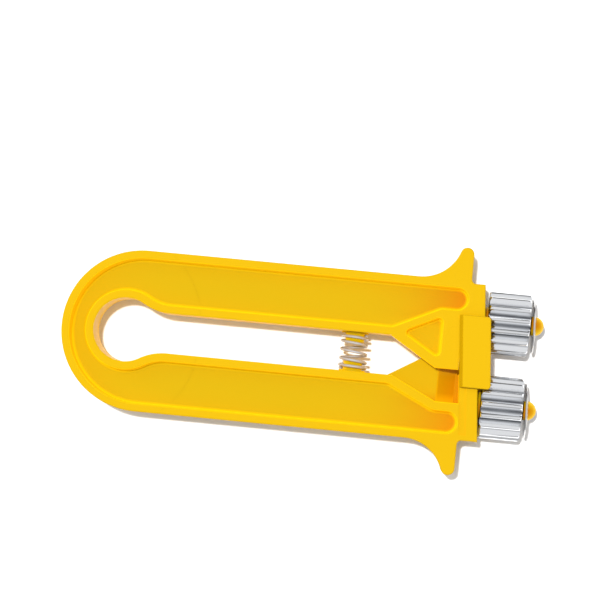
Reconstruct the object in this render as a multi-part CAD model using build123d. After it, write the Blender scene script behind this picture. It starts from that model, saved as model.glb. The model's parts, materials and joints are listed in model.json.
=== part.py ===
from build123d import *
import math
import os

# Frame-wire crimper for beehive frames: a springy U-shaped handle that carries a free-turning
# toothed wheel on the end of each arm. Millimetres. X runs from the bow to the wheels, Y from
# the lower arm to the upper arm, and Z is up from the surface on which the tool lies.

# ---- handle, seen from above ----
handle_length = 140.8       # back of the bow to the front walls, on the axle lines
bow_radius = 27.0           # outside of the bow, and half the width over both arms
bow_wall = 10.75            # material behind the eye
eye_radius = 10.65          # round hanging eye in the bow
neck_length = 14.6          # eye centre to the start of the parallel slot
slot_width = 13.3           # gap between the arms
slot_apex_setback = 20.0    # front point of the slot, behind the front walls
vee_angle = 31.3            # slope of the slot's pointed front end
outer_rim = 2.7             # width of the raised rim along the outside
inner_rim = 2.7             # width of the raised rim along the eye and the slot
rib_start_setback = 30.5    # where the slanted rib leaves the slot rim, behind the front walls
rib_angle = 25.6            # slope of the slanted rib
rib_width = 2.9
recess_end_y = 16.85        # inner edge of the long recess beside the front wall
flex_radius = 36.0          # the bow ends on this arc about the flexing point
flex_clearance = 0.05       # between the bow and the arms on that arc

# ---- handle, thickness ----
arm_thickness = 18.0
web_thickness = 5.0         # floor between the recesses of the two faces
edge_round = 0.5            # rounding of the rim edges
web_round = 1.6             # rounding where the recess walls meet the floor
recess_corner = 4.0         # corner radius of the long recess, seen from above

# ---- front walls ----
wall_thickness = 6.2
wall_lean = 4.8             # both front walls lean this many degrees the same way
wall_top_y = 26.2           # outer end of the front wall
wall_gap = 8.6              # gap between the ends of the two walls, which limits the squeeze
shoulder_round = 1.4        # corner between finger guard and wall
slide_land_width = 2.4      # lowered strip behind the band on which the other arm's tab slides
slide_land_depth = 0.6

# ---- finger guards ----
guard_span = 76.0           # tip to tip over both arms
guard_setback = 7.95        # centre of the tip behind the front wall
guard_tip_radius = 2.3
guard_curve_radius = 14.0   # hollow curve from the arm up to the tip

# ---- overlapping guide plates, each half the arm's thickness ----
plate_gap = 0.3             # between the two plates
plate_reach = 2.85          # how far each plate passes the middle of the tool
plate_border = 3.1          # between the triangular pocket and the slot
pocket_rib_border = 2.4     # between the pocket and the recess behind the rib
plate_end_gap = 0.4         # plate to the other arm's front wall
pocket_depth = 5.5
pocket_corner = 1.5
pocket_front_setback = 13.9
relief_setback = 14.0       # the plate is thinner on its inner face from here to the wall
relief_ramp = 6.0           # length of the slope down to that depth
relief_depth = 4.0

# ---- tabs, each holding the other arm flat ----
tab_width = 10.4
tab_overhang = 1.8          # past the front wall
tab_top_y = 15.5            # inner and outer end of the upper tab
tab_bottom_y = -8.5
tab_thickness = 2.7
tab_lip_thickness = 1.05    # least thickness where the tab passes over the wheel
tab_gap = 0.3               # tab to the other arm's wall
tab_slope = 1.1             # slanted rear edge
tab_corner = 1.2

# ---- wheels, axles and retaining discs ----
axle_y = 14.2               # axle line from the middle of the tool
axle_radius = 3.25
axle_clearance = 0.05       # running clearance in the wheel
axle_shoulder_radius = 5.0
shoulder_clearance = 0.1    # axial, shoulder to wheel
wheel_setback = 1.0         # front wall to wheel, on the axle line
wheel_length = 14.0
wheel_radius = 10.65
tooth_depth = 2.0
tooth_count = 16
tooth_tip_half_width = 0.75
tooth_valley_half_width = 0.45
tooth_tip_round = 0.35      # height of the rounded tip
tooth_valley_round = 0.2    # height of the rounded valley
tooth_phase = 16.5          # first tooth of the lower wheel, degrees from the line of centres
wheel_chamfer_length = 0.9
wheel_chamfer_depth = 1.3
wheel_lip_clearance = 0.3   # tab to the wheel that passes under it, above and behind
disc_setback = 1.5          # wheel to retaining disc
disc_thickness = 0.5
disc_radius = 9.4
disc_hub_radius = 4.6
disc_dish = 0.5             # how far the rim stands back towards the wheel
disc_grip = 0.05            # radial bite of the disc on the axle
axle_tip_length = 2.9       # domed end beyond the disc

# ---- return spring ----
spring_setback = 42.8       # spring axis behind the front walls
spring_radius = 5.0         # outside
spring_wire = 0.95
spring_turns = 5
seat_radius = 4.5
seat_height = 0.5
peg_radius = 3.2
peg_length = 2.9
spring_end_gap = 0.05       # spring to each seat

# ---- places that follow from the sizes ----
overall_length = (handle_length + wheel_setback + wheel_length + disc_setback
                  + disc_thickness + axle_tip_length)
half = arm_thickness / 2
tab_under_z = half + tab_gap
tab_lip_z = wheel_radius + wheel_lip_clearance
tab_top_z = max(tab_under_z + tab_thickness, tab_lip_z + tab_lip_thickness)
overall_thickness = 2 * tab_top_z
back_x = -overall_length / 2
bow_x = back_x + bow_radius
eye_x = back_x + bow_wall + eye_radius
flex_x = eye_x - eye_radius
slot_x = eye_x + neck_length
slot_y = slot_width / 2
wall_x = back_x + handle_length
apex_x = wall_x - slot_apex_setback
vee_slope = math.tan(math.radians(vee_angle))
rib_slope = math.tan(math.radians(rib_angle))
lean_slope = math.tan(math.radians(wall_lean))
recess_outer_y = bow_radius - outer_rim
rim_inner_y = slot_y + inner_rim
recess_depth = (arm_thickness - web_thickness) / 2
neck_radius = (neck_length ** 2 + slot_y ** 2 - eye_radius ** 2) / (2 * (eye_radius - slot_y))
strip_start_x = bow_x - 2 * edge_round
strip_end_x = max(flex_x + flex_radius, bow_x + bow_radius) + 2 * edge_round
wheel_x = wall_x + wheel_setback
wheel_end_x = wheel_x + wheel_length
disc_x = wheel_end_x + disc_setback
spring_x = wall_x - spring_setback
seat_y = slot_y - seat_height
wall_end_y = wall_gap / 2


def slab(face, low, high):
    """A flat face drawn at height 0, thickened between two heights."""
    return extrude(Pos(0, 0, low) * face, high - low)


def outline(points):
    return make_face(Polyline(*points, close=True))


def wall_plane_x(y, lean):
    """Front wall face at the distance y from the middle of the tool."""
    return wall_x - (y - axle_y) * lean * lean_slope


def round_rims(solid):
    """Rounds every edge that lies in the two rim faces."""
    top = solid.edges().filter_by_position(Axis.Z, half - 0.01, half + 0.01)
    bottom = solid.edges().filter_by_position(Axis.Z, -half - 0.01, -half + 0.01)
    return fillet(top + bottom, edge_round)


def recess_tool(face, depth):
    """Cutter for a recess in the upper face, with a rounded floor."""
    tool = slab(face, half - depth, half + 1)
    floor = tool.edges().filter_by_position(Axis.Z, half - depth - 0.01, half - depth + 0.01)
    return fillet(floor, web_round)


def cut_both_faces(solid, tool):
    return solid - tool - mirror(tool, about=Plane.XY)


def keyhole(offset):
    """Eye, reverse-curved neck and slot as one face, grown by an offset."""
    eye = Vector(eye_x, 0)
    bend = Vector(slot_x, slot_y + neck_radius)
    to_eye = (eye - bend).normalized()
    middle = (to_eye + Vector(0, -1)).normalized()
    reach = neck_radius - offset
    slot_edge = slot_y + offset
    bend_end = bend + to_eye * reach
    bend_middle = bend + middle * reach
    upper = [Vector(slot_x, slot_edge), bend_middle, bend_end]
    lower = [Vector(point.X, -point.Y) for point in upper]
    back = Vector(eye_x - eye_radius - offset, 0)
    front_x = strip_end_x + 2 * rim_inner_y
    lines = [
        Line((front_x, slot_edge), upper[0]),
        ThreePointArc(*upper),
        ThreePointArc(upper[2], back, lower[2]),
        ThreePointArc(lower[2], lower[1], lower[0]),
        Line(lower[0], (front_x, -slot_edge)),
        Line((front_x, -slot_edge), (front_x, slot_edge)),
    ]
    return make_face(lines)


def bow_face(radius):
    """Round back end and the first stretch of both arms."""
    run = strip_end_x - bow_x
    strips = Pos(bow_x + run / 2, 0) * Rectangle(run, 2 * radius)
    return Pos(bow_x, 0) * Circle(radius) + strips


def make_bow():
    solid = slab(bow_face(bow_radius) - keyhole(0), -half, half)
    recess = recess_tool(bow_face(recess_outer_y) - keyhole(inner_rim), recess_depth)
    solid = round_rims(cut_both_faces(solid, recess))
    return solid & Pos(flex_x, 0) * Cylinder(flex_radius, 2 * arm_thickness)


def rib_y(x, shift=0.0):
    """Recess side of the slanted rib, or a line beside it at a distance towards the slot."""
    start_x = wall_x - rib_start_setback
    return rim_inner_y + (x - start_x) * rib_slope - shift / math.cos(math.radians(rib_angle))


def rib_x(y, shift=0.0):
    start_x = wall_x - rib_start_setback
    return start_x + (y - rim_inner_y + shift / math.cos(math.radians(rib_angle))) / rib_slope


def vee_y(x, shift=0.0):
    """Pointed front end of the slot, or a line beside it at a distance into the plate."""
    return (apex_x - x) * vee_slope + shift / math.cos(math.radians(vee_angle))


def vee_x(y):
    return apex_x - y / vee_slope


def arm_face(lean):
    """Full-thickness part of the arm: strip, slanted rib, front wall and finger guard."""
    rib_inner_y = recess_end_y - rib_width
    tip = Vector(wall_x - guard_setback, guard_span / 2 - guard_tip_radius)
    reach = guard_curve_radius + guard_tip_radius
    curve_y = bow_radius + guard_curve_radius
    curve = Vector(tip.X - math.sqrt(reach ** 2 - (curve_y - tip.Y) ** 2), curve_y)
    joint = tip + (curve - tip).normalized() * guard_tip_radius
    half_way = ((joint - curve).normalized() + Vector(0, -1)).normalized()
    root = wall_top_y + shoulder_round
    front = tip.X + guard_tip_radius
    wall_back = -wall_thickness
    corner = Vector(wall_plane_x(wall_top_y, lean), wall_top_y)
    inner = [
        (strip_start_x, slot_y),
        (rib_x(slot_y, rib_width), slot_y),
        (rib_x(rib_inner_y, rib_width), rib_inner_y),
        (wall_plane_x(rib_inner_y, lean) + wall_back, rib_inner_y),
        (wall_plane_x(wall_end_y, lean) + wall_back, wall_end_y),
        (wall_plane_x(wall_end_y, lean), wall_end_y),
        corner,
        (front + shoulder_round, wall_top_y),
    ]
    diagonal = shoulder_round * (1 - math.sqrt(0.5))
    lines = [
        Polyline(*inner),
        ThreePointArc(inner[-1], (front + diagonal, wall_top_y + diagonal), (front, root)),
        Line((front, root), (front, tip.Y)),
        ThreePointArc((front, tip.Y), tip + Vector(0, guard_tip_radius), joint),
        ThreePointArc(joint, curve + half_way * guard_curve_radius, (curve.X, bow_radius)),
        Line((curve.X, bow_radius), (strip_start_x, bow_radius)),
        Line((strip_start_x, bow_radius), (strip_start_x, slot_y)),
    ]
    return make_face(lines)


def long_recess_face():
    """Recess along the arm, with a round front end."""
    end_radius = (recess_outer_y - recess_end_y) / 2
    end_x = wall_x - wall_thickness - end_radius
    middle_y = recess_end_y + end_radius
    face = outline([
        (strip_start_x, rim_inner_y),
        (wall_x - rib_start_setback, rim_inner_y),
        (rib_x(recess_end_y), recess_end_y),
        (end_x, recess_end_y),
        (end_x, recess_outer_y),
        (strip_start_x, recess_outer_y),
    ])
    corners = face.vertices().filter_by_position(
        Axis.X, wall_x - rib_start_setback - 0.01, rib_x(recess_end_y) + 0.01)
    return fillet(corners, recess_corner) + Pos(end_x, middle_y) * Circle(end_radius)


def plate_solid(lean):
    """Guide plate in the upper half of the arm's thickness, thinned beside the wall."""
    other_wall_x = wall_plane_x(wall_end_y, -lean) - wall_thickness
    end_x = min(other_wall_x, wall_plane_x(wall_end_y, lean) - wall_thickness) - plate_end_gap
    joined_x = wall_x - wall_thickness / 2
    joined_y = recess_end_y - rib_width / 2
    face = outline([
        (vee_x(slot_y), slot_y),
        (vee_x(-plate_reach), -plate_reach),
        (end_x, -plate_reach),
        (end_x, wall_end_y),
        (joined_x, wall_end_y),
        (joined_x, joined_y),
        (rib_x(joined_y, rib_width / 2), joined_y),
        (rib_x(slot_y, rib_width / 2), slot_y + rib_width / 2),
        (vee_x(slot_y), slot_y + rib_width / 2),
    ])
    low = plate_gap / 2
    ramp_x = wall_x - relief_setback
    profile = make_face(Polyline(
        (ramp_x, recess_end_y, low - 1),
        (ramp_x, recess_end_y, low),
        (ramp_x + relief_ramp, recess_end_y, low + relief_depth),
        (wall_x, recess_end_y, low + relief_depth),
        (wall_x, recess_end_y, low - 1),
        close=True))
    relief = extrude(profile, recess_end_y + 2 * plate_reach, dir=(0, -1, 0))
    return slab(face, low, half) - relief


def plate_pocket():
    """Triangular pocket between the rib and the slot's pointed end."""
    front_x = wall_x - pocket_front_setback
    rib_line = rib_y(0, pocket_rib_border)
    vee_line = vee_y(0, plate_border)
    back = (vee_line - rib_line) / (rib_slope + vee_slope)
    face = outline([
        (back, rib_y(back, pocket_rib_border)),
        (front_x, vee_y(front_x, plate_border)),
        (front_x, rib_y(front_x, pocket_rib_border)),
    ])
    return recess_tool(fillet(face.vertices(), pocket_corner), pocket_depth)


def tab_solid(lean, body_face):
    """Tab on the upper face: solid over its own arm, hanging over the other arm's wall."""
    foot_x = wall_plane_x(tab_top_y, lean)
    most_forward = max(foot_x, wall_plane_x(tab_bottom_y, lean))
    lip_x = foot_x + min(0, wheel_x - wheel_lip_clearance - most_forward)
    back = foot_x + tab_overhang - tab_width
    profile = make_face(Polyline(
        (back, tab_top_y, tab_under_z),
        (back + tab_slope, tab_top_y, tab_top_z),
        (foot_x + tab_overhang, tab_top_y, tab_top_z),
        (foot_x + tab_overhang, tab_top_y, tab_lip_z),
        (lip_x, tab_top_y, tab_lip_z),
        (lip_x, tab_top_y, tab_under_z),
        close=True))
    height = tab_top_y - tab_bottom_y
    along = Vector(lean * lean_slope, -1, 0)
    tab = extrude(profile, height * along.length, dir=along.normalized())
    uprights = tab.edges().filter_by(Axis.Z).group_by(Axis.Z)[-1]
    tab = fillet(uprights, tab_corner)
    rim = tab.edges().filter_by_position(Axis.Z, tab_top_z - 0.01, tab_top_z + 0.01)
    tab = fillet(rim, edge_round)
    shift = height * lean * lean_slope
    footprint = outline([
        (back, tab_top_y),
        (lip_x, tab_top_y),
        (lip_x + shift, tab_bottom_y),
        (back + shift, tab_bottom_y),
    ])
    foot = slab(body_face, half - 2 * edge_round, tab_under_z) & slab(footprint, 0, tab_top_z)
    return tab + foot


def slide_land(lean):
    """Shallow strip cut in the lower face behind the band that the other tab slides on."""
    back = -wall_thickness
    front = back + slide_land_width
    low = wall_plane_x(wall_end_y, lean)
    high = wall_plane_x(recess_outer_y, lean)
    face = outline([
        (low + back, wall_end_y),
        (low + front, wall_end_y),
        (high + front, recess_outer_y),
        (high + back, recess_outer_y),
    ])
    return slab(face, -half - 1, -half + slide_land_depth)


def along_x(radius, start, end, y):
    return Pos((start + end) / 2, y, 0) * Rot(0, 90, 0) * Cylinder(radius, end - start)


def along_y(radius, start, end):
    return Pos(spring_x, (start + end) / 2, 0) * Rot(90, 0, 0) * Cylinder(radius, end - start)


def make_arm(lean):
    """The upper arm about the tool's middle plane; the lower arm is one turned over."""
    body = arm_face(lean)
    plate = plate_solid(lean)
    solid = slab(body, -half, half) + plate
    solid = cut_both_faces(solid, recess_tool(long_recess_face(), recess_depth))
    solid = round_rims(solid - plate_pocket())
    solid = solid - slide_land(lean)
    solid = solid + tab_solid(lean, body + section(plate, Plane.XY.offset(half / 2 + 2)))
    axle_root = wall_x - wall_thickness / 2
    dome_x = disc_x + disc_thickness + axle_tip_length - axle_radius
    solid = solid + along_x(axle_shoulder_radius, axle_root, wheel_x - shoulder_clearance, axle_y)
    solid = solid + along_x(axle_radius, axle_root, dome_x, axle_y)
    solid = solid + Pos(dome_x, axle_y, 0) * Sphere(axle_radius)
    solid = solid + along_y(seat_radius, seat_y, slot_y + inner_rim / 2)
    solid = solid + along_y(peg_radius, seat_y - peg_length, slot_y + inner_rim / 2)
    return solid - Pos(flex_x, 0) * Cylinder(flex_radius + flex_clearance, 2 * arm_thickness)


def polar(radius, degrees):
    """A point of the wheel's end view, as Y and Z about its own axis."""
    angle = math.radians(degrees)
    return (0, radius * math.cos(angle), radius * math.sin(angle))


def make_wheel(phase):
    """Toothed wheel about the X axis, its first tooth at the given angle from +Y."""
    pitch = 360 / tooth_count
    root_radius = wheel_radius - tooth_depth
    tip_r = wheel_radius - tooth_tip_round
    valley_r = root_radius + tooth_valley_round
    tip_a = math.degrees(math.asin(tooth_tip_half_width / tip_r))
    foot_a = pitch / 2 - math.degrees(math.asin(tooth_valley_half_width / valley_r))
    lines = []
    for index in range(tooth_count):
        at = phase + index * pitch
        lines.append(ThreePointArc(polar(tip_r, at - tip_a), polar(wheel_radius, at),
                                   polar(tip_r, at + tip_a)))
        lines.append(Line(polar(tip_r, at + tip_a), polar(valley_r, at + foot_a)))
        lines.append(ThreePointArc(polar(valley_r, at + foot_a), polar(root_radius, at + pitch / 2),
                                   polar(valley_r, at + pitch - foot_a)))
        lines.append(Line(polar(valley_r, at + pitch - foot_a), polar(tip_r, at + pitch - tip_a)))
    toothed = extrude(make_face(lines), wheel_length, dir=(1, 0, 0))
    low = wheel_radius - wheel_chamfer_depth
    barrel = revolve(make_face(Polyline(
        (0, 0, 0), (0, low, 0), (wheel_chamfer_length, wheel_radius, 0),
        (wheel_length - wheel_chamfer_length, wheel_radius, 0), (wheel_length, low, 0),
        (wheel_length, 0, 0), close=True)), Axis.X)
    bore = along_x(axle_radius + axle_clearance, -1, wheel_length + 1, 0)
    return Pos(wheel_x, 0, 0) * ((toothed & barrel) - bore)


def make_disc():
    """Push-on retaining disc, slightly dished towards the wheel."""
    hole = axle_radius - disc_grip
    profile = make_face(Polyline(
        (disc_x, hole, 0),
        (disc_x, disc_hub_radius, 0),
        (disc_x - disc_dish, disc_radius, 0),
        (disc_x - disc_dish + disc_thickness, disc_radius, 0),
        (disc_x + disc_thickness, disc_hub_radius, 0),
        (disc_x + disc_thickness, hole, 0),
        close=True))
    return revolve(profile, Axis.X)


def make_spring():
    """Coil spring between the two seats, round the pegs."""
    mean_radius = spring_radius - spring_wire / 2
    length = 2 * (seat_y - spring_end_gap) - spring_wire
    path = Helix(length / spring_turns, length, mean_radius)
    wire = sweep(Plane(path @ 0, z_dir=path % 0) * Circle(spring_wire / 2), path=path)
    return Pos(spring_x, length / 2, 0) * Rot(90, 0, 0) * wire


def lower(solid):
    """Turns an upper piece over, about the tool's long axis, to the lower side."""
    return Rot(180, 0, 0) * solid


def upper_teeth():
    """First tooth of the upper wheel: the lower wheel's teeth meet its gaps."""
    return 180 - tooth_phase - 180 / tooth_count


parts = {
    "bow": make_bow(),
    "upper_arm": make_arm(1),
    "lower_arm": lower(make_arm(-1)),
    "upper_wheel": Pos(0, axle_y, 0) * make_wheel(upper_teeth()),
    "lower_wheel": Pos(0, -axle_y, 0) * make_wheel(tooth_phase),
    "upper_retainer": Pos(0, axle_y, 0) * make_disc(),
    "lower_retainer": Pos(0, -axle_y, 0) * make_disc(),
    "return_spring": make_spring(),
}

os.makedirs("parts", exist_ok=True)
for name, solid in parts.items():
    placed = Pos(0, 0, overall_thickness / 2) * solid
    export_step(placed, f"parts/{name}.step")
    print(name, len(placed.solids()), round(placed.volume, 1))
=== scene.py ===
import json
import math

import bmesh
import bpy
from mathutils import Matrix, Vector


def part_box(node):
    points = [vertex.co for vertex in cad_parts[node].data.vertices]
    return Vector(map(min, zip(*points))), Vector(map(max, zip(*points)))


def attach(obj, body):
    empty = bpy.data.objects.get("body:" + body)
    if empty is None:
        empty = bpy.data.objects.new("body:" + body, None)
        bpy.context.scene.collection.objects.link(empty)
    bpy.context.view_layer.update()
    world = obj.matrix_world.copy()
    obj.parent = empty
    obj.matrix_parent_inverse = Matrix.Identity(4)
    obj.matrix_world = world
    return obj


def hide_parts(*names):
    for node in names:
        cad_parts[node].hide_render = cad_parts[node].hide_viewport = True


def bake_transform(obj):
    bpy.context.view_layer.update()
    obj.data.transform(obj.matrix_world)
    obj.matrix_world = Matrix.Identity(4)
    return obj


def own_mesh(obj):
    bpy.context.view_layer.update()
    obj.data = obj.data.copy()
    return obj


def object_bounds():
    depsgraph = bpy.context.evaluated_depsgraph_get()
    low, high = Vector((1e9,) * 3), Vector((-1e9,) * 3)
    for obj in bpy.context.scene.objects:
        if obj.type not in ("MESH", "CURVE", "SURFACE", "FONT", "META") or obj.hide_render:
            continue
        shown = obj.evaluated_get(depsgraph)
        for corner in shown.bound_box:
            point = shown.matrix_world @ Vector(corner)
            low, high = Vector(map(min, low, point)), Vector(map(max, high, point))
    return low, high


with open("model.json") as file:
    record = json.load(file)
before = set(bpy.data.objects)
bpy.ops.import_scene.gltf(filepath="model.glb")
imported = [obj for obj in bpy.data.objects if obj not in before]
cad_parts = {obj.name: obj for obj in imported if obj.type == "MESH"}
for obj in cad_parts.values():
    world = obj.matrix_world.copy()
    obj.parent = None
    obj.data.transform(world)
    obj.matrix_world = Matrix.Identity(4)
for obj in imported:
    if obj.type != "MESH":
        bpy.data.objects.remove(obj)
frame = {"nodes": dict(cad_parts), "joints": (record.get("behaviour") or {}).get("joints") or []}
cad_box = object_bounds()

bl_info = {
    "name": "Frame wire crimper",
    "version": (1, 0, 0),
    "blender": (4, 5, 0),
    "location": "3D View > Sidebar > Crimper",
    "description": "Finishes the pieces of a frame wire crimper and sets up its studio stage",
    "category": "Object",
}

MM = 0.001
FULL_TURN = 2.0 * math.pi
QUARTER_TURN = math.radians(90.0)
NODES = frame["nodes"]


# ---- places read from the frame ----

def axle_centre(side):
    """Axle line of one roller, as Y and Z, from the round retaining disc that sits on it."""
    low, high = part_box(side + "_retainer")
    return (low.y + high.y) / 2, (low.z + high.z) / 2


def reach(node, centre):
    """Largest distance of a node's points from a line along X."""
    return max(math.hypot(v.co.y - centre[0], v.co.z - centre[1]) for v in NODES[node].data.vertices)


BOW_LOW, BOW_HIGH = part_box("bow")
SPRING_LOW, SPRING_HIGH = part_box("return_spring")
WHEEL_LOW, WHEEL_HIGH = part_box("upper_wheel")
DISC_LOW, DISC_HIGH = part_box("upper_retainer")
SQUEEZE = next(joint for joint in frame["joints"] if joint["name"] == "squeeze")
HINGE = Vector(SQUEEZE["pos_m"])
MIDDLE_Z = HINGE.z
ROLLER_RADIUS = reach("upper_wheel", axle_centre("upper"))
DISC_RADIUS = reach("upper_retainer", axle_centre("upper"))
BOW_X = BOW_LOW.x + BOW_HIGH.y

# Places on the moulding that the frame doesn't name.
EYE_RADIUS = 10.65 * MM
EYE_X = HINGE.x + EYE_RADIUS
FACE_HEIGHT = 9.0 * MM          # the arms' faces, from the middle
LANE_Y = 12.5 * MM              # between the relief and the long recesses
SLOT_WALL_Y = 8.0 * MM          # between the slot's walls and the recesses' inner walls
OUTER_WALL_Y = 25.4 * MM        # between the recesses' outer walls and the outside
EYE_WALL = 12.0 * MM            # between the eye's wall and the recess round it
SLOT_END_X = 30.0 * MM
RELIEF_START_X = 46.6 * MM
RELIEF_END_X = 54.0 * MM
FRONT_WALL_X = 57.5 * MM
TIP_X = 77.6 * MM               # the axles' domed tips start here
# Painted shade: the recess floors darken to orange from here towards the front walls, over the run
# below.
END_SHADE_START_X = 10.0 * MM       # from here the recess floors turn orange
END_SHADE_RUN = 46.0 * MM
EJECTOR_PLACES = ((50.3 * MM, 9.7 * MM), (50.7 * MM, 28.4 * MM))

TOOTH_CURVE = 1.15              # over 1, the teeth are wider than the valleys

# The stage.
FRAME_WIDTH = 600.0
ARM_FACE_Z = cad_box[1][2] - 3.0 * MM
KEY_PLACE = Vector((-0.25, 0.28, 3.0))
FILL_PLACE = Vector((-1.2, 0.5, 0.7))
CAMERA_FOOT = Vector((31.45 * MM, -15.0 * MM, 0.0))
VIEW_CENTRE = Vector((-1.65 * MM, 15.3 * MM, ARM_FACE_Z))


# ---- settings that a user may change ----

def length(name, description, default):
    """A length setting in metres."""
    return bpy.props.FloatProperty(
        name=name, description=description, default=default, min=0.0, precision=5,
        subtype="DISTANCE", unit="LENGTH")


def colour(name, description, default):
    return bpy.props.FloatVectorProperty(
        name=name, description=description, default=default, size=3, min=0.0, max=1.0,
        subtype="COLOR")


def share(name, description, default):
    return bpy.props.FloatProperty(
        name=name, description=description, default=default, min=0.0, max=1.0, subtype="FACTOR")


class PlasticLook(bpy.types.PropertyGroup):
    """Colour and surface of the yellow handle moulding."""
    yellow: colour("Yellow", "Main colour of the moulding", (0.545, 0.328, 0.001))
    # Painted shade: a darker yellow that darkens the recess floors.
    recess_shade_yellow: colour("Deep yellow", "Colour of the recess floors", (0.447, 0.294, 0.001))
    # Painted shade: orange that darkens the ends of the long recesses and the relief under the other
    # arm's plate.
    end_shade_orange: colour(
        "Thick orange", "Colour where the plastic is thickest", (0.415, 0.150, 0.0005))
    flow_yellow: colour("Flow yellow", "Colour where the melt flowed last", (0.520, 0.295, 0.001))
    # Painted light: the lighter yellow of the upright walls and the colour of their painted glow,
    # standing in for light let through the translucent plastic.
    painted_light_yellow: colour("Side yellow", "Lighter colour of the upright walls", (0.93, 0.57, 0.004))
    speck: colour("Speck", "Dark specks held in the plastic", (0.30, 0.13, 0.02))
    gloss: share("Roughness", "Roughness of the moulded surface", 0.40)
    # Painted light: strength of the walls' painted glow, standing in for light let through the
    # translucent plastic.
    glow: share("Glow", "Light that the translucent walls let through", 0.25)
    grain: length("Grain", "Size of the fine mould texture", 0.00055)
    ejector: length("Ejector mark", "Radius of the faint round ejector marks", 0.0017)


class MetalLook(bpy.types.PropertyGroup):
    """Colours and surfaces of the plated rollers, the discs and the spring."""
    chrome: colour("Chrome", "Plating of the rollers", (0.90, 0.915, 0.94))
    # Painted shade: a dark colour put in the valleys between the teeth.
    valley_shade: colour("Valley", "Duller plating between the teeth", (0.16, 0.17, 0.19))
    disc: colour("Disc", "Sheet steel of the retaining discs", (0.72, 0.71, 0.70))
    disc_film: colour("Disc film", "Duller patches of the sheet steel", (0.60, 0.59, 0.58))
    wire: colour("Wire", "Bright wire of the return spring", (0.62, 0.62, 0.64))
    wire_film: colour("Wire film", "Duller patches of the wire", (0.50, 0.50, 0.51))


class BowSizes(bpy.types.PropertyGroup):
    """Slices across the springy bow between the two arms, and how far its ends reach into them."""
    cuts: bpy.props.IntProperty(
        name="Cuts", description="Slices across the stretch that bends", default=24, min=4)
    bend_half: length("Half bend", "Half of the stretch of the bow that bends", 0.00665)
    overlap: length("Overlap", "How far the bow's ends reach into the arms", 0.0001)


class RollerSizes(bpy.types.PropertyGroup):
    """Teeth and ends of the rollers that crimp the wire."""
    teeth: bpy.props.IntProperty(
        name="Teeth", description="Teeth round each roller", default=16, min=6)
    steps: bpy.props.IntProperty(
        name="Steps", description="Points along the outline of one tooth", default=12, min=4)
    phase: bpy.props.FloatProperty(
        name="Phase", description="First tooth of the lower roller from the line of centres",
        default=math.radians(16.5), subtype="ANGLE", unit="ROTATION")
    depth: length("Tooth depth", "Height of the teeth", 0.002)
    bore: length("Bore", "Radius of the hole for the axle", 0.0033)
    shoulder: length("Shoulder", "Rounding at the ends of the teeth", 0.0013)
    edge: length("Edge", "Softening of the sharp edges", 0.00012)
    counterbore: length("Counterbore", "Radius of the sunk ring in each end", 0.0052)
    sink: length("Sink", "Depth of the sunk ring in each end", 0.0005)


class DiscSizes(bpy.types.PropertyGroup):
    """Push-on discs that keep the rollers on their axles."""
    segments: bpy.props.IntProperty(
        name="Segments", description="Points round a disc", default=72, min=24)
    sheet: length("Sheet", "Thickness of the sheet steel", 0.0005)
    hole: length("Hole", "Radius of the hole that grips the axle", 0.0032)
    hub: length("Hub", "Radius of the flat part round the hole", 0.0046)
    slits: bpy.props.IntProperty(
        name="Slits", description="Slits between the gripping tongues", default=6, min=3)
    lean: bpy.props.FloatProperty(
        name="Lean", description="How far a disc sits out of square on its axle",
        default=math.radians(2.6), subtype="ANGLE", unit="ROTATION")


class SpringSizes(bpy.types.PropertyGroup):
    """Coil spring that opens the arms."""
    wire: length("Wire", "Diameter of the wire", 0.00095)
    open_turns: bpy.props.FloatProperty(
        name="Open turns", description="Turns between the closed ends", default=3.9, min=1.0)
    closed_turns: bpy.props.FloatProperty(
        name="Closed turns", description="Turns that lie on each other at each end", default=0.75,
        min=0.25)
    steps: bpy.props.IntProperty(
        name="Steps", description="Points along each turn", default=28, min=12)
    taper: length("Taper", "How much narrower the coil is at the upper arm", 0.00045)
    keep: share("Keep", "Share of its length that is left when the arms are squeezed", 0.545)


class StageSettings(bpy.types.PropertyGroup):
    """Floor, lights and camera."""
    floor_side: length("Floor", "Side of the square floor", 8.0)
    floor_colour: colour("Floor colour", "Pale floor", (0.93, 0.93, 0.93))
    wall_strength: bpy.props.FloatProperty(
        name="Wall light", description="Brightness of the room's walls", default=0.45, min=0.0)
    ceiling_strength: bpy.props.FloatProperty(
        name="Ceiling light", description="Brightness of the room's ceiling", default=0.80, min=0.0)
    floor_glow: share("Floor glow", "Light that comes through the floor", 0.02)
    key_power: bpy.props.FloatProperty(
        name="Key light", description="Power of the small overhead light", default=100.0, min=0.0)
    key_size: length("Key size", "Side of the square overhead light", 0.12)
    key_colour: colour("Key colour", "Colour of the overhead light", (1.0, 0.995, 0.985))
    fill_power: bpy.props.FloatProperty(
        name="Fill light", description="Power of the low side light", default=3.0, min=0.0)
    fill_size: length("Fill size", "Side of the square side light", 0.8)
    fill_colour: colour("Fill colour", "Colour of the side light", (0.97, 0.98, 1.0))
    camera_height: length("Camera height", "Height of the camera over the floor", 0.880)
    camera_roll: bpy.props.FloatProperty(
        name="Camera roll", description="Turn of the camera about its line of sight",
        default=math.radians(5.5), subtype="ANGLE", unit="ROTATION")
    view_scale: bpy.props.FloatProperty(
        name="Scale", description="Size of one metre of the arms' face, in steps of the frame's width",
        default=3000.0, min=1.0)


# ---- shader maths ----

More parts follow.
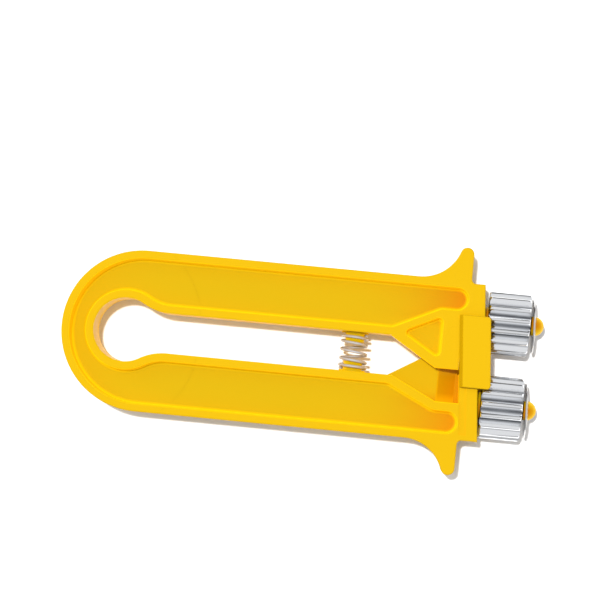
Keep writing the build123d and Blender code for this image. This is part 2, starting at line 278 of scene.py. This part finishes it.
class Value:
    """One output of a shader node. Arithmetic on values adds Math nodes to the tree."""

    def __init__(self, shader, socket):
        self.shader = shader
        self.socket = socket

    def math(self, operation, *others):
        return self.shader.node("ShaderNodeMath", {"operation": operation}, (self, *others))

    def __add__(self, other):
        return self.math("ADD", other)

    def __radd__(self, other):
        return self.shader.node("ShaderNodeMath", {"operation": "ADD"}, (other, self))

    def __sub__(self, other):
        return self.math("SUBTRACT", other)

    def __rsub__(self, other):
        return self.shader.node("ShaderNodeMath", {"operation": "SUBTRACT"}, (other, self))

    def __mul__(self, other):
        return self.math("MULTIPLY", other)

    def __rmul__(self, other):
        return self.shader.node("ShaderNodeMath", {"operation": "MULTIPLY"}, (other, self))

    def __truediv__(self, other):
        return self.math("DIVIDE", other)

    def __pow__(self, other):
        return self.math("POWER", other)

    def __abs__(self):
        return self.math("ABSOLUTE")

    def clamped(self):
        return self.shader.node(
            "ShaderNodeMath", {"operation": "ADD", "use_clamp": True}, (self, 0.0))

    def above(self, edge, width):
        """0 under the edge and 1 over it, with a soft step of the given width."""
        return ((self - (edge - width / 2)) / width).clamped()


class Shader:
    """The node tree of one material, with its Principled shader."""

    def __init__(self, name):
        self.material = bpy.data.materials.new(name)
        self.material.use_nodes = True
        self.tree = self.material.node_tree
        self.tree.nodes.clear()
        self.surface = self.tree.nodes.new("ShaderNodeBsdfPrincipled")
        output = self.tree.nodes.new("ShaderNodeOutputMaterial")
        self.tree.links.new(self.surface.outputs[0], output.inputs["Surface"])
        coordinates = self.tree.nodes.new("ShaderNodeTexCoord")
        self.place = Value(self, coordinates.outputs["Object"])

    def join(self, value, socket):
        if isinstance(value, Value):
            self.tree.links.new(value.socket, socket)
        else:
            socket.default_value = value

    def node(self, kind, settings=None, values=(), output=0):
        """A node of a type, with its settings, then the values or links of its sockets."""
        node = self.tree.nodes.new(kind)
        for key, value in (settings or {}).items():
            setattr(node, key, value)
        pairs = values.items() if isinstance(values, dict) else enumerate(values)
        for key, value in pairs:
            self.join(value, node.inputs[key])
        return Value(self, node.outputs[output])

    def axis(self, index):
        """X, Y or Z of the place on the piece, in metres."""
        return self.node("ShaderNodeSeparateXYZ", values=(self.place,), output=index)

    def facing(self, index):
        """X, Y or Z of the direction that the surface faces."""
        geometry = self.node("ShaderNodeNewGeometry", output="True Normal")
        return self.node("ShaderNodeSeparateXYZ", values=(geometry,), output=index)

    def stretched(self, scale, centre=(0.0, 0.0, 0.0)):
        """The place, centred and then scaled along each axis."""
        moved = self.node(
            "ShaderNodeVectorMath", {"operation": "SUBTRACT"}, (self.place, tuple(centre)))
        return self.node(
            "ShaderNodeVectorMath", {"operation": "MULTIPLY"}, (moved, tuple(scale)))

    def noise(self, scale, detail=2.0, roughness=0.5, vector=None):
        return self.node("ShaderNodeTexNoise", values={
            "Vector": vector or self.place, "Scale": scale, "Detail": detail,
            "Roughness": roughness})

    def blend(self, factor, first, second):
        """A mix of two colours."""
        node = self.tree.nodes.new("ShaderNodeMix")
        node.data_type = "RGBA"
        self.join(factor, node.inputs[0])
        for tone, socket in ((first, node.inputs[6]), (second, node.inputs[7])):
            self.join(tone if isinstance(tone, Value) else (*tone, 1.0), socket)
        return Value(self, node.outputs[2])

    def bump(self, height, distance, strength=1.0, below=None):
        values = {"Height": height, "Distance": distance, "Strength": strength}
        if below:
            values["Normal"] = below
        return self.node("ShaderNodeBump", values=values)

    def finish(self, **inputs):
        """Fills the Principled shader's sockets, whose names are written with underscores."""
        for key, value in inputs.items():
            socket = self.surface.inputs[key.replace("_", " ")]
            plain_colour = socket.type == "RGBA" and not isinstance(value, Value)
            self.join((*value, 1.0) if plain_colour else value, socket)
        return self.material


# ---- finishes ----

# Masks on the moulding, from a place's X and Y, its height from the middle, and the way it faces.

def outer_lane(y):
    """1 over the long recesses near the front walls, and 0 between them."""
    return abs(y).above(LANE_Y, 3.0 * MM)


def relief_floor(x, y, up, height):
    """1 on the sloped relief that lets one arm's plate slide over the other's."""
    side = up.math("SIGN") * y
    ahead = x.above(RELIEF_START_X, 1.0 * MM) * (1.0 - side.above(-1.0 * MM, 1.0 * MM))
    ahead = ahead * (1.0 - x.above(RELIEF_END_X, 0.4 * MM))
    return ahead * (1.0 - outer_lane(y)) * (1.0 - height.above(FACE_HEIGHT - 0.5 * MM, 0.5 * MM))


def relief_shade(x):
    """How much painted shade darkens the relief to orange, more so towards the front wall."""
    return 0.5 + ((x - 47.0 * MM) / (8.0 * MM)).clamped() * 0.4


def recess_end_shade(x, y):
    """Painted shade mask: 1 where the long recesses run up to the solid front walls, and 0 towards the
    bow.
    """
    return outer_lane(y) * ((x - END_SHADE_START_X) / END_SHADE_RUN).clamped() ** 2.5


def painted_light_walls(x, y, height):
    """Where painted light goes: 1 on the recesses' walls, about half at the eye, the slot and the
    tips, and 0 elsewhere.
    """
    out = ((x - BOW_X).math("MINIMUM", 0.0) ** 2.0 + y ** 2.0) ** 0.5
    eye = ((x - EYE_X) ** 2.0 + y ** 2.0) ** 0.5
    behind_eye = 1.0 - x.above(EYE_X, 1.0 * MM)
    past_slot = x.above(SLOT_END_X, 2.0 * MM)
    beside = (abs(y).above(SLOT_WALL_Y, 0.6 * MM) + behind_eye + past_slot).clamped()
    inner = 0.55 + eye.above(EYE_WALL, 0.6 * MM) * beside * 0.45
    outer = 1.0 - out.above(OUTER_WALL_Y, 0.6 * MM)
    under = 1.0 - height.above(FACE_HEIGHT + 0.15 * MM, 0.2 * MM)
    tip = x.above(TIP_X, 0.4 * MM)
    return inner * outer * under * (1.0 - x.above(FRONT_WALL_X, 1.0 * MM)) + tip * 0.6


def moulded_plastic(name, look, marks=()):
    """Yellow injection-moulded plastic, with painted shade on the recess floors, the recess ends and
    the relief, and painted light that makes the upright walls lighter and glowing, standing in for
    light let through the translucent plastic.

    Each mark is a faint ejector disc at X, Y and a side in Z.
    """
    shader = Shader(name)
    x, y, z = (shader.axis(index) for index in range(3))
    flow = shader.noise(34.0, 3.0, 0.55, shader.stretched((0.45, 1.0, 1.0)))
    height = abs(z - MIDDLE_Z)
    up = shader.facing(2)
    level = abs(up)
    # Painted shade: the recess floors that face up, below the arms' faces, are darkened.
    painted_floor_shade = (1.0 - height.above(7.2 * MM, 2.6 * MM)) * level.above(0.5, 0.4)
    tone = shader.blend(painted_floor_shade, look.yellow, look.recess_shade_yellow)
    relief = relief_floor(x, y, up, height)
    # Painted shade: the recess ends and the relief are darkened to orange.
    end_shade = painted_floor_shade * recess_end_shade(x, y) + relief * relief_shade(x) * level.above(0.5, 0.4)
    tone = shader.blend(end_shade.clamped(), tone, look.end_shade_orange)
    tone = shader.blend(((flow - 0.5) * 0.9).clamped(), tone, look.flow_yellow)
    upright = 1.0 - level.above(0.70, 0.54)
    # Painted light: the upright walls are made lighter, standing in for light let through the
    # translucent plastic.
    wall_light_painted = upright * painted_light_walls(x, y, height) * (1.0 - relief)
    tone = shader.blend(wall_light_painted, tone, look.painted_light_yellow)
    cells = shader.node(
        "ShaderNodeTexVoronoi", {"feature": "F1"},
        {"Vector": shader.place, "Scale": 120.0, "Randomness": 1.0})
    rare = shader.noise(95.0, 0.0).above(0.74, 0.02)
    speck = (1.0 - cells.above(0.045, 0.03)) * rare
    tone = shader.blend(speck * 0.8, tone, look.speck)
    grain = shader.noise(1.0 / look.grain, 2.0, 0.6)
    ripple = shader.noise(160.0, 2.0, 0.5, shader.stretched((0.3, 1.0, 1.0)))
    scuff = shader.noise(420.0, 4.0, 0.7, shader.stretched((1.0, 0.12, 1.0))).above(0.66, 0.05)
    rough = look.gloss + (grain - 0.5) * 0.10 + (flow - 0.5) * 0.08 + scuff * 0.10
    seam = 1.0 - height.above(0.07 * MM, 0.06 * MM)
    raised = seam * 0.05
    for mark_x, mark_y, side in marks:
        distance = ((x - mark_x) ** 2.0 + (y - mark_y) ** 2.0) ** 0.5
        disc = 1.0 - distance.above(look.ejector, 0.12 * MM)
        ring = 1.0 - abs(distance - look.ejector).above(0.10 * MM, 0.12 * MM)
        facing = ((z - MIDDLE_Z) * side).above(8.0 * MM, 0.5 * MM)
        raised = raised + (ring * 0.012 - disc * 0.03) * facing
    fine = shader.bump(grain * 0.5 + ripple * 0.5, 0.030 * MM, 0.6)
    coarse = shader.bump(raised, 1.0 * MM, 1.0, fine)
    # Painted light: the same walls glow in the lighter yellow, though they are no lamp.
    glow = shader.blend(wall_light_painted, (0.0, 0.0, 0.0), look.painted_light_yellow)
    return shader.finish(
        Base_Color=tone, Roughness=rough, Normal=coarse, IOR=1.49, Specular_IOR_Level=0.12,
        Emission_Color=glow, Emission_Strength=look.glow)


def plated_chrome(name, look, centre, radius, depth):
    """Bright plating, duller between the teeth, with painted shade darkening the valleys, and fine
    lines along the roller.
    """
    shader = Shader(name)
    y, z = shader.axis(1), shader.axis(2)
    out = ((y - centre[0]) ** 2.0 + (z - centre[1]) ** 2.0) ** 0.5
    low = 1.0 - out.above(radius - 0.84 * depth, 0.26 * depth)
    # Painted shade: the valleys are darkened, more in some patches than in others.
    shade_patches = shader.noise(260.0, 3.0, 0.6)
    shade = low * (0.7 + 0.3 * shade_patches)
    tone = shader.blend(shade.clamped(), look.chrome, look.valley_shade)
    lines = shader.noise(1.0, 3.0, 0.6, shader.stretched((140.0, 2600.0, 2600.0)))
    rough = 0.13 + low * 0.12 + (lines - 0.5) * 0.06
    wave = shader.noise(1.0, 1.0, 0.5, shader.stretched((20.0, 330.0, 330.0)))
    normal = shader.bump(lines * 0.10 + wave * 0.5, 0.012 * MM, 0.7)
    return shader.finish(Base_Color=tone, Metallic=1.0, Roughness=rough.clamped(), Normal=normal)


def turned_steel(name, look, centre):
    """Sheet steel with fine rings about the axle."""
    shader = Shader(name)
    y, z = shader.axis(1), shader.axis(2)
    out = ((y - centre[0]) ** 2.0 + (z - centre[1]) ** 2.0) ** 0.5
    ring_place = shader.node("ShaderNodeCombineXYZ", values=(out * 3200.0, 0.0, 0.0))
    rings = shader.noise(1.0, 2.0, 0.6, ring_place)
    film = shader.noise(320.0, 3.0, 0.6)
    tone = shader.blend((film * 0.5).clamped(), look.disc, look.disc_film)
    normal = shader.bump(rings, 0.012 * MM, 0.8)
    return shader.finish(
        Base_Color=tone, Metallic=1.0, Roughness=0.24 + (rings - 0.5) * 0.12 + film * 0.06,
        Normal=normal)


def drawn_wire(name, look):
    """Bright drawn wire with faint die lines and a slightly dulled film."""
    shader = Shader(name)
    film = shader.noise(700.0, 3.0, 0.6)
    lines = shader.noise(1.0, 2.0, 0.6, shader.stretched((900.0, 5200.0, 900.0)))
    tone = shader.blend((film * 0.4).clamped(), look.wire, look.wire_film)
    normal = shader.bump(lines, 0.010 * MM, 0.7)
    return shader.finish(
        Base_Color=tone, Metallic=0.60, Roughness=0.30 + film * 0.12, Normal=normal)


def pale_floor(name, tone, glow):
    """Matt white board with a barely visible tooth, lit a little from below."""
    shader = Shader(name)
    cloud = shader.noise(2.5, 2.0)
    near = shader.blend(cloud, tone, tuple(channel * 0.985 for channel in tone))
    normal = shader.bump(shader.noise(900.0, 2.0), 0.02 * MM, 0.3)
    return shader.finish(
        Base_Color=near, Roughness=0.9, Normal=normal, Emission_Color=near, Emission_Strength=glow)


# ---- modelling helpers ----

def only(obj):
    """Makes one object the active and only selected one."""
    if bpy.context.object and bpy.context.object.mode != "OBJECT":
        bpy.ops.object.mode_set(mode="OBJECT")
    bpy.ops.object.select_all(action="DESELECT")
    obj.select_set(True)
    bpy.context.view_layer.objects.active = obj


def added(name):
    """Names the primitive that was just added and applies its place."""
    obj = bpy.context.object
    obj.name = name
    obj.data.name = name
    bpy.ops.object.transform_apply(location=True, rotation=True, scale=True)
    return obj


def edit():
    """Edit mode, with vertices as what is selected."""
    bpy.ops.object.mode_set(mode="EDIT")
    bpy.ops.mesh.select_mode(type="VERT")


def done():
    bpy.ops.object.mode_set(mode="OBJECT")


def select_all():
    bpy.ops.mesh.select_all(action="SELECT")


def pick(obj, test, kind="VERT"):
    """Selects, in edit mode, what passes a test: vertices, or faces by their middle and normal."""
    bpy.ops.mesh.select_mode(type=kind)
    bpy.ops.mesh.select_all(action="DESELECT")
    mesh = bmesh.from_edit_mesh(obj.data)
    if kind == "VERT":
        for vertex in mesh.verts:
            vertex.select_set(test(vertex))
    else:
        for face in mesh.faces:
            face.select_set(test(face))
    mesh.select_flush_mode()
    bmesh.update_edit_mesh(obj.data)


def resize_about(value, centre):
    bpy.ops.transform.resize(value=value, center_override=centre)


def apply_modifier(obj, kind, **settings):
    modifier = obj.modifiers.new(kind.title(), kind)
    for key, value in settings.items():
        setattr(modifier, key, value)
    only(obj)
    bpy.ops.object.modifier_apply(modifier=modifier.name)


def clean(obj):
    """Merges doubled points and turns every face outwards."""
    only(obj)
    edit()
    select_all()
    bpy.ops.mesh.remove_doubles(threshold=1e-6)
    bpy.ops.mesh.normals_make_consistent(inside=False)
    done()


def smooth(obj, degrees):
    only(obj)
    bpy.ops.object.shade_smooth_by_angle(angle=math.radians(degrees))


def paint(obj, material):
    obj.data.materials.clear()
    obj.data.materials.append(material)


def hand_over(obj, body, slot, *nodes):
    """Lets a new piece ride on a body in place of CAD nodes."""
    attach(obj, body)
    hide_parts(*nodes)


# ---- the pieces ----

class CRIMPER_OT_arms(bpy.types.Operator):
    """Finish both arms of the handle in moulded plastic"""
    bl_idname = "crimper.arms"
    bl_label = "Finish arms"

    def execute(self, context):
        look = context.scene.crimper.plastic
        for side, sign in (("upper", 1.0), ("lower", -1.0)):
            marks = [(x, y * sign, sign) for x, y in EJECTOR_PLACES]
            paint(NODES[side + "_arm"], moulded_plastic(side + "_arm_plastic", look, marks))
        return {"FINISHED"}


class CRIMPER_OT_bow(bpy.types.Operator):
    """Make the springy bow, sliced across the stretch between the two arms"""
    bl_idname = "crimper.bow"
    bl_label = "Make bow"

    def execute(self, context):
        sizes = context.scene.crimper.bow
        bow = NODES["bow"].copy()
        bow.data = NODES["bow"].data.copy()
        bow.parent = None
        bow.name = "springy_bow"
        for key in list(bow.keys()):
            del bow[key]
        context.scene.collection.objects.link(bow)
        only(bow)
        bpy.ops.mesh.customdata_custom_splitnormals_clear()
        edit()
        select_all()
        bpy.ops.mesh.remove_doubles(threshold=2e-6)
        end_radius = max(math.hypot(v.co.x - HINGE.x, v.co.y - HINGE.y)
                         for v in bmesh.from_edit_mesh(bow.data).verts if v.co.x > HINGE.x)
        pick(bow, lambda v: v.co.x > HINGE.x and math.hypot(
            v.co.x - HINGE.x, v.co.y - HINGE.y) > end_radius - 0.02 * MM)
        bpy.ops.transform.translate(value=(sizes.overlap, 0.0, 0.0))
        for index in range(1, sizes.cuts):
            at = sizes.bend_half * (2.0 * index / sizes.cuts - 1.0)
            select_all()
            bpy.ops.mesh.bisect(plane_co=(HINGE.x, at, MIDDLE_Z), plane_no=(0.0, 1.0, 0.0))
        done()
        smooth(bow, 32.0)
        paint(bow, moulded_plastic("bow_plastic", context.scene.crimper.plastic))
        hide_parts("bow")
        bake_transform(bow)
        return {"FINISHED"}


def toothed_ring(sizes, name, centre, phase):
    """A roller's cross-section with rounded teeth round a bore, drawn out to its length."""
    count = sizes.teeth * sizes.steps
    at = Vector((WHEEL_LOW.x, centre[0], centre[1]))
    bpy.ops.mesh.primitive_circle_add(
        vertices=count, radius=ROLLER_RADIUS, fill_type="NOTHING", location=at,
        rotation=(0.0, QUARTER_TURN, 0.0))
    roller = added(name)
    edit()
    pitch = FULL_TURN / sizes.teeth
    for step in range(1, sizes.steps):
        share_of_tooth = step / sizes.steps
        drop = sizes.depth * ((1.0 - math.cos(FULL_TURN * share_of_tooth)) / 2.0) ** TOOTH_CURVE
        pick(roller, lambda v: abs(
            ((math.atan2(v.co.z - at.z, v.co.y - at.y) / pitch) % 1.0) - share_of_tooth)
            < 0.25 / sizes.steps)
        scale = 1.0 - drop / ROLLER_RADIUS
        resize_about((1.0, scale, scale), at)
    bpy.ops.mesh.primitive_circle_add(
        vertices=count, radius=sizes.bore, fill_type="NOTHING", location=at,
        rotation=(0.0, QUARTER_TURN, 0.0))
    select_all()
    bpy.ops.mesh.bridge_edge_loops()
    select_all()
    run = WHEEL_HIGH.x - WHEEL_LOW.x
    bpy.ops.mesh.extrude_region_move(TRANSFORM_OT_translate={"value": (run, 0.0, 0.0)})
    done()
    turn = Matrix.Rotation(phase, 4, "X")
    roller.data.transform(Matrix.Translation(at) @ turn @ Matrix.Translation(-at))
    clean(roller)
    return roller


def round_shoulders(sizes, roller, centre):
    """Rounds the ends of the teeth by keeping what lies inside a turned barrel."""
    run = WHEEL_HIGH.x - WHEEL_LOW.x
    middle = ((WHEEL_LOW.x + WHEEL_HIGH.x) / 2, *centre)
    bpy.ops.mesh.primitive_cylinder_add(
        vertices=120, radius=ROLLER_RADIUS + 0.15 * MM, depth=run, location=middle,
        rotation=(0.0, QUARTER_TURN, 0.0))
    barrel = added("barrel")
    edit()
    pick(barrel, lambda face: abs(face.normal.x) > 0.9, "FACE")
    bpy.ops.mesh.bevel(offset=sizes.shoulder, segments=5, affect="EDGES", profile=0.5)
    done()
    apply_modifier(roller, "BOOLEAN", operation="INTERSECT", object=barrel, solver="EXACT")
    bpy.data.objects.remove(barrel)


def sink_ends(sizes, roller, centre):
    """Cuts a shallow sunk ring round the bore into both ends."""
    for end in (WHEEL_LOW.x, WHEEL_HIGH.x):
        bpy.ops.mesh.primitive_cylinder_add(
            vertices=96, radius=sizes.counterbore, depth=2.0 * sizes.sink,
            location=(end, *centre), rotation=(0.0, QUARTER_TURN, 0.0))
        plug = added("plug")
        edit()
        pick(plug, lambda face: abs(face.normal.x) > 0.9, "FACE")
        bpy.ops.mesh.bevel(offset=0.15 * MM, segments=2, affect="EDGES")
        done()
        apply_modifier(roller, "BOOLEAN", operation="DIFFERENCE", object=plug, solver="EXACT")
        bpy.data.objects.remove(plug)


class CRIMPER_OT_rollers(bpy.types.Operator):
    """Make the two toothed rollers with rounded, plated teeth"""
    bl_idname = "crimper.rollers"
    bl_label = "Make rollers"

    def execute(self, context):
        sizes = context.scene.crimper.roller
        metal = context.scene.crimper.metal
        half_pitch = math.pi / sizes.teeth
        phases = {"lower": sizes.phase, "upper": math.pi - sizes.phase - half_pitch}
        for side, phase in phases.items():
            centre = axle_centre(side)
            roller = toothed_ring(sizes, side + "_roller_wheel", centre, phase)
            round_shoulders(sizes, roller, centre)
            sink_ends(sizes, roller, centre)
            apply_modifier(roller, "BEVEL", width=sizes.edge, segments=2, limit_method="ANGLE",
                           angle_limit=math.radians(38.0))
            clean(roller)
            smooth(roller, 30.0)
            paint(roller, plated_chrome(
                side + "_roller_chrome", metal, centre, ROLLER_RADIUS, sizes.depth))
            hand_over(roller, side + "_roller", "wheel_chrome", side + "_wheel")
        return {"FINISHED"}


class CRIMPER_OT_discs(bpy.types.Operator):
    """Make the two push-on retaining discs"""
    bl_idname = "crimper.discs"
    bl_label = "Make discs"

    def execute(self, context):
        sizes = context.scene.crimper.disc
        metal = context.scene.crimper.metal
        hub_x = DISC_HIGH.x - sizes.sheet / 2.0
        rim_x = DISC_LOW.x + sizes.sheet / 2.0
        for side in ("upper", "lower"):
            centre = axle_centre(side)
            disc = self.pressed_disc(sizes, side + "_push_disc", centre, hub_x, rim_x)
            paint(disc, turned_steel(side + "_disc_steel", metal, centre))
            hand_over(disc, side + "_handle", "disc_steel", side + "_retainer")
        return {"FINISHED"}

    def pressed_disc(self, sizes, name, centre, hub_x, rim_x):
        """Rings drawn outwards from the hole, slit into tongues, then given the sheet's thickness."""
        at = Vector((hub_x, *centre))
        bpy.ops.mesh.primitive_circle_add(
            vertices=sizes.segments, radius=sizes.hole, fill_type="NOTHING", location=at,
            rotation=(0.0, QUARTER_TURN, 0.0))
        disc = added(name)
        edge = DISC_RADIUS - sizes.sheet / 2.0
        stations = (
            (sizes.hub, 0.0),
            (sizes.hub + 0.5 * MM, 0.12),
            (edge - 1.4 * MM, 0.86),
            (edge - 0.5 * MM, 1.0),
            (edge, 0.96),
        )
        edit()
        select_all()
        radius = sizes.hole
        x = hub_x
        for next_radius, dish in stations:
            next_x = hub_x + (rim_x - hub_x) * dish
            bpy.ops.mesh.extrude_region_move(
                TRANSFORM_OT_translate={"value": (next_x - x, 0.0, 0.0)})
            scale = next_radius / radius
            resize_about((1.0, scale, scale), (next_x, *centre))
            radius = next_radius
            x = next_x
        every = sizes.segments // sizes.slits
        pitch = FULL_TURN / sizes.segments

        def in_slit(face):
            middle = face.calc_center_median()
            out = math.hypot(middle.y - centre[0], middle.z - centre[1])
            turn = math.atan2(middle.z - centre[1], middle.y - centre[0]) % FULL_TURN
            return out < sizes.hub and int(turn / pitch) % every == 0

        pick(disc, in_slit, "FACE")
        bpy.ops.mesh.delete(type="FACE")
        done()
        clean(disc)
        apply_modifier(disc, "SOLIDIFY", thickness=sizes.sheet, offset=0.0, use_even_offset=True)
        apply_modifier(disc, "BEVEL", width=0.08 * MM, segments=2, limit_method="ANGLE",
                       angle_limit=math.radians(50.0))
        clean(disc)
        lean = Matrix.Rotation(sizes.lean, 4, "Z")
        disc.data.transform(Matrix.Translation(at) @ lean @ Matrix.Translation(-at))
        smooth(disc, 35.0)
        return disc


class CRIMPER_OT_spring(bpy.types.Operator):
    """Wind the return spring with closed ends"""
    bl_idname = "crimper.spring"
    bl_label = "Wind spring"

    def execute(self, context):
        sizes = context.scene.crimper.spring
        radius = (SPRING_HIGH.x - SPRING_LOW.x - sizes.wire) / 2.0
        centre_x = (SPRING_LOW.x + SPRING_HIGH.x) / 2.0
        low = SPRING_LOW.y + sizes.wire / 2.0
        high = SPRING_HIGH.y - sizes.wire / 2.0
        closed = sizes.closed_turns
        open_run = (high - low) - 2.0 * closed * sizes.wire
        turns = sizes.open_turns + 2.0 * closed
        count = int(turns * sizes.steps)
        curve = bpy.data.curves.new("coil", "CURVE")
        curve.dimensions = "3D"
        curve.bevel_depth = sizes.wire / 2.0
        curve.bevel_resolution = 4
        curve.use_fill_caps = True
        spline = curve.splines.new("POLY")
        spline.points.add(count)
        for index, point in enumerate(spline.points):
            turn = turns * index / count
            wound = min(turn, closed) * sizes.wire
            wound += max(0.0, turn - closed - sizes.open_turns) * sizes.wire
            part = min(max((turn - closed) / sizes.open_turns, 0.0), 1.0)
            eased = part - math.sin(FULL_TURN * part) * 0.04
            angle = FULL_TURN * turn + math.radians(200.0)
            out = radius - sizes.taper * index / count
            place = (centre_x + out * math.cos(angle), low + wound + open_run * eased,
                     MIDDLE_Z + out * math.sin(angle))
            point.co = (*place, 1.0)
        spring = bpy.data.objects.new("coil_spring", curve)
        context.scene.collection.objects.link(spring)
        only(spring)
        bpy.ops.object.convert(target="MESH")
        spring = bpy.context.object
        clean(spring)
        smooth(spring, 50.0)
        paint(spring, drawn_wire("spring_wire", context.scene.crimper.metal))
        hand_over(spring, "lower_handle", "spring_steel", "return_spring")
        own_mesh(spring)
        return {"FINISHED"}


# ---- the stage ----

def studio_room(settings):
    """A pale room with a ceiling brighter than its walls, and a dark flag low on its +Y side."""
    world = bpy.data.worlds.new("studio")
    world.use_nodes = True
    tree = world.node_tree
    direction = tree.nodes.new("ShaderNodeTexCoord")
    split = tree.nodes.new("ShaderNodeSeparateXYZ")
    tree.links.new(direction.outputs["Generated"], split.inputs[0])
    product = tree.nodes.new("ShaderNodeMath")
    product.operation = "MULTIPLY"
    tree.links.new(product.outputs[0], tree.nodes["Background"].inputs["Strength"])
    ceiling = (0.6, 0.8, settings.wall_strength, settings.ceiling_strength)
    flag = (0.80, 0.90, 1.0, 0.12)
    for index, (axis, limits) in enumerate((("Z", ceiling), ("Y", flag))):
        step = tree.nodes.new("ShaderNodeMapRange")
        tree.links.new(split.outputs[axis], step.inputs["Value"])
        for name, value in zip(("From Min", "From Max", "To Min", "To Max"), limits):
            step.inputs[name].default_value = value
        tree.links.new(step.outputs["Result"], product.inputs[index])
    tree.nodes["Background"].inputs["Color"].default_value = (1.0, 1.0, 1.0, 1.0)
    return world


def area_light(name, power, size, place, target, tone):
    """A square area light at a place, turned to a target. It isn't seen in reflections."""
    data = bpy.data.lights.new(name, "AREA")
    data.shape = "SQUARE"
    data.size = size
    data.energy = power
    data.color = tone
    light = bpy.data.objects.new(name, data)
    bpy.context.scene.collection.objects.link(light)
    light.visible_glossy = False
    light.location = place
    light.rotation_euler = (target - place).to_track_quat("-Z", "Y").to_euler()


def place_camera(settings, foot, centre):
    """A camera over its foot that looks at the centre of the view and turns about its line."""
    data = bpy.data.cameras.new("camera")
    camera = bpy.data.objects.new("camera", data)
    bpy.context.scene.collection.objects.link(camera)
    eye = Vector((foot.x, foot.y, settings.camera_height))
    forward = (centre - eye).normalized()
    roll = settings.camera_roll
    right = forward.cross(Vector((-math.sin(roll), math.cos(roll), 0.0))).normalized()
    up = right.cross(forward)
    turned = Matrix((right, up, -forward)).transposed()
    camera.matrix_world = Matrix.Translation(eye) @ turned.to_4x4()
    data.sensor_width = 36.0
    data.lens = data.sensor_width * settings.view_scale * (centre - eye).length / FRAME_WIDTH
    data.clip_start = 0.01
    data.clip_end = 50.0
    bpy.context.scene.camera = camera


class CRIMPER_OT_stage(bpy.types.Operator):
    """Set up the pale floor, the soft lights and the camera"""
    bl_idname = "crimper.stage"
    bl_label = "Set stage"

    def execute(self, context):
        settings = context.scene.crimper.stage
        bpy.ops.object.select_all(action="DESELECT")
        bpy.ops.mesh.primitive_plane_add(size=settings.floor_side)
        floor = added("floor")
        paint(floor, pale_floor("floor_board", settings.floor_colour, settings.floor_glow))
        context.scene.world = studio_room(settings)
        target = Vector((0.0, 0.0, MIDDLE_Z))
        area_light("key", settings.key_power, settings.key_size, KEY_PLACE, target,
                   settings.key_colour)
        area_light("fill", settings.fill_power, settings.fill_size, FILL_PLACE, target,
                   settings.fill_colour)
        place_camera(settings, CAMERA_FOOT, VIEW_CENTRE)
        context.scene.view_settings.view_transform = "Standard"
        return {"FINISHED"}


class CrimperSettings(bpy.types.PropertyGroup):
    """All settings of the crimper."""
    plastic: bpy.props.PointerProperty(type=PlasticLook)
    metal: bpy.props.PointerProperty(type=MetalLook)
    bow: bpy.props.PointerProperty(type=BowSizes)
    roller: bpy.props.PointerProperty(type=RollerSizes)
    disc: bpy.props.PointerProperty(type=DiscSizes)
    spring: bpy.props.PointerProperty(type=SpringSizes)
    stage: bpy.props.PointerProperty(type=StageSettings)


OPERATORS = (
    CRIMPER_OT_arms,
    CRIMPER_OT_bow,
    CRIMPER_OT_rollers,
    CRIMPER_OT_discs,
    CRIMPER_OT_spring,
    CRIMPER_OT_stage,
)


class CRIMPER_PT_panel(bpy.types.Panel):
    """Lists the pieces of the crimper and their settings"""
    bl_label = "Frame wire crimper"
    bl_idname = "CRIMPER_PT_panel"
    bl_space_type = "VIEW_3D"
    bl_region_type = "UI"
    bl_category = "Crimper"

    def draw(self, context):
        for operator in OPERATORS:
            self.layout.operator(operator.bl_idname)
        for group in CrimperSettings.__annotations__:
            box = self.layout.box()
            box.label(text=group.capitalize())
            settings = getattr(context.scene.crimper, group)
            for name in settings.__annotations__:
                box.prop(settings, name)


GROUPS = (PlasticLook, MetalLook, BowSizes, RollerSizes, DiscSizes, SpringSizes, StageSettings,
          CrimperSettings)
CLASSES = (*GROUPS, *OPERATORS, CRIMPER_PT_panel)


def register():
    for item in CLASSES:
        bpy.utils.register_class(item)
    bpy.types.Scene.crimper = bpy.props.PointerProperty(type=CrimperSettings)


def unregister():
    del bpy.types.Scene.crimper
    for item in reversed(CLASSES):
        bpy.utils.unregister_class(item)


def main():
    register()
    bpy.ops.crimper.stage()
    bpy.ops.crimper.arms()
    bpy.ops.crimper.bow()
    bpy.ops.crimper.rollers()
    bpy.ops.crimper.discs()
    bpy.ops.crimper.spring()


if __name__ == "__main__":
    main()
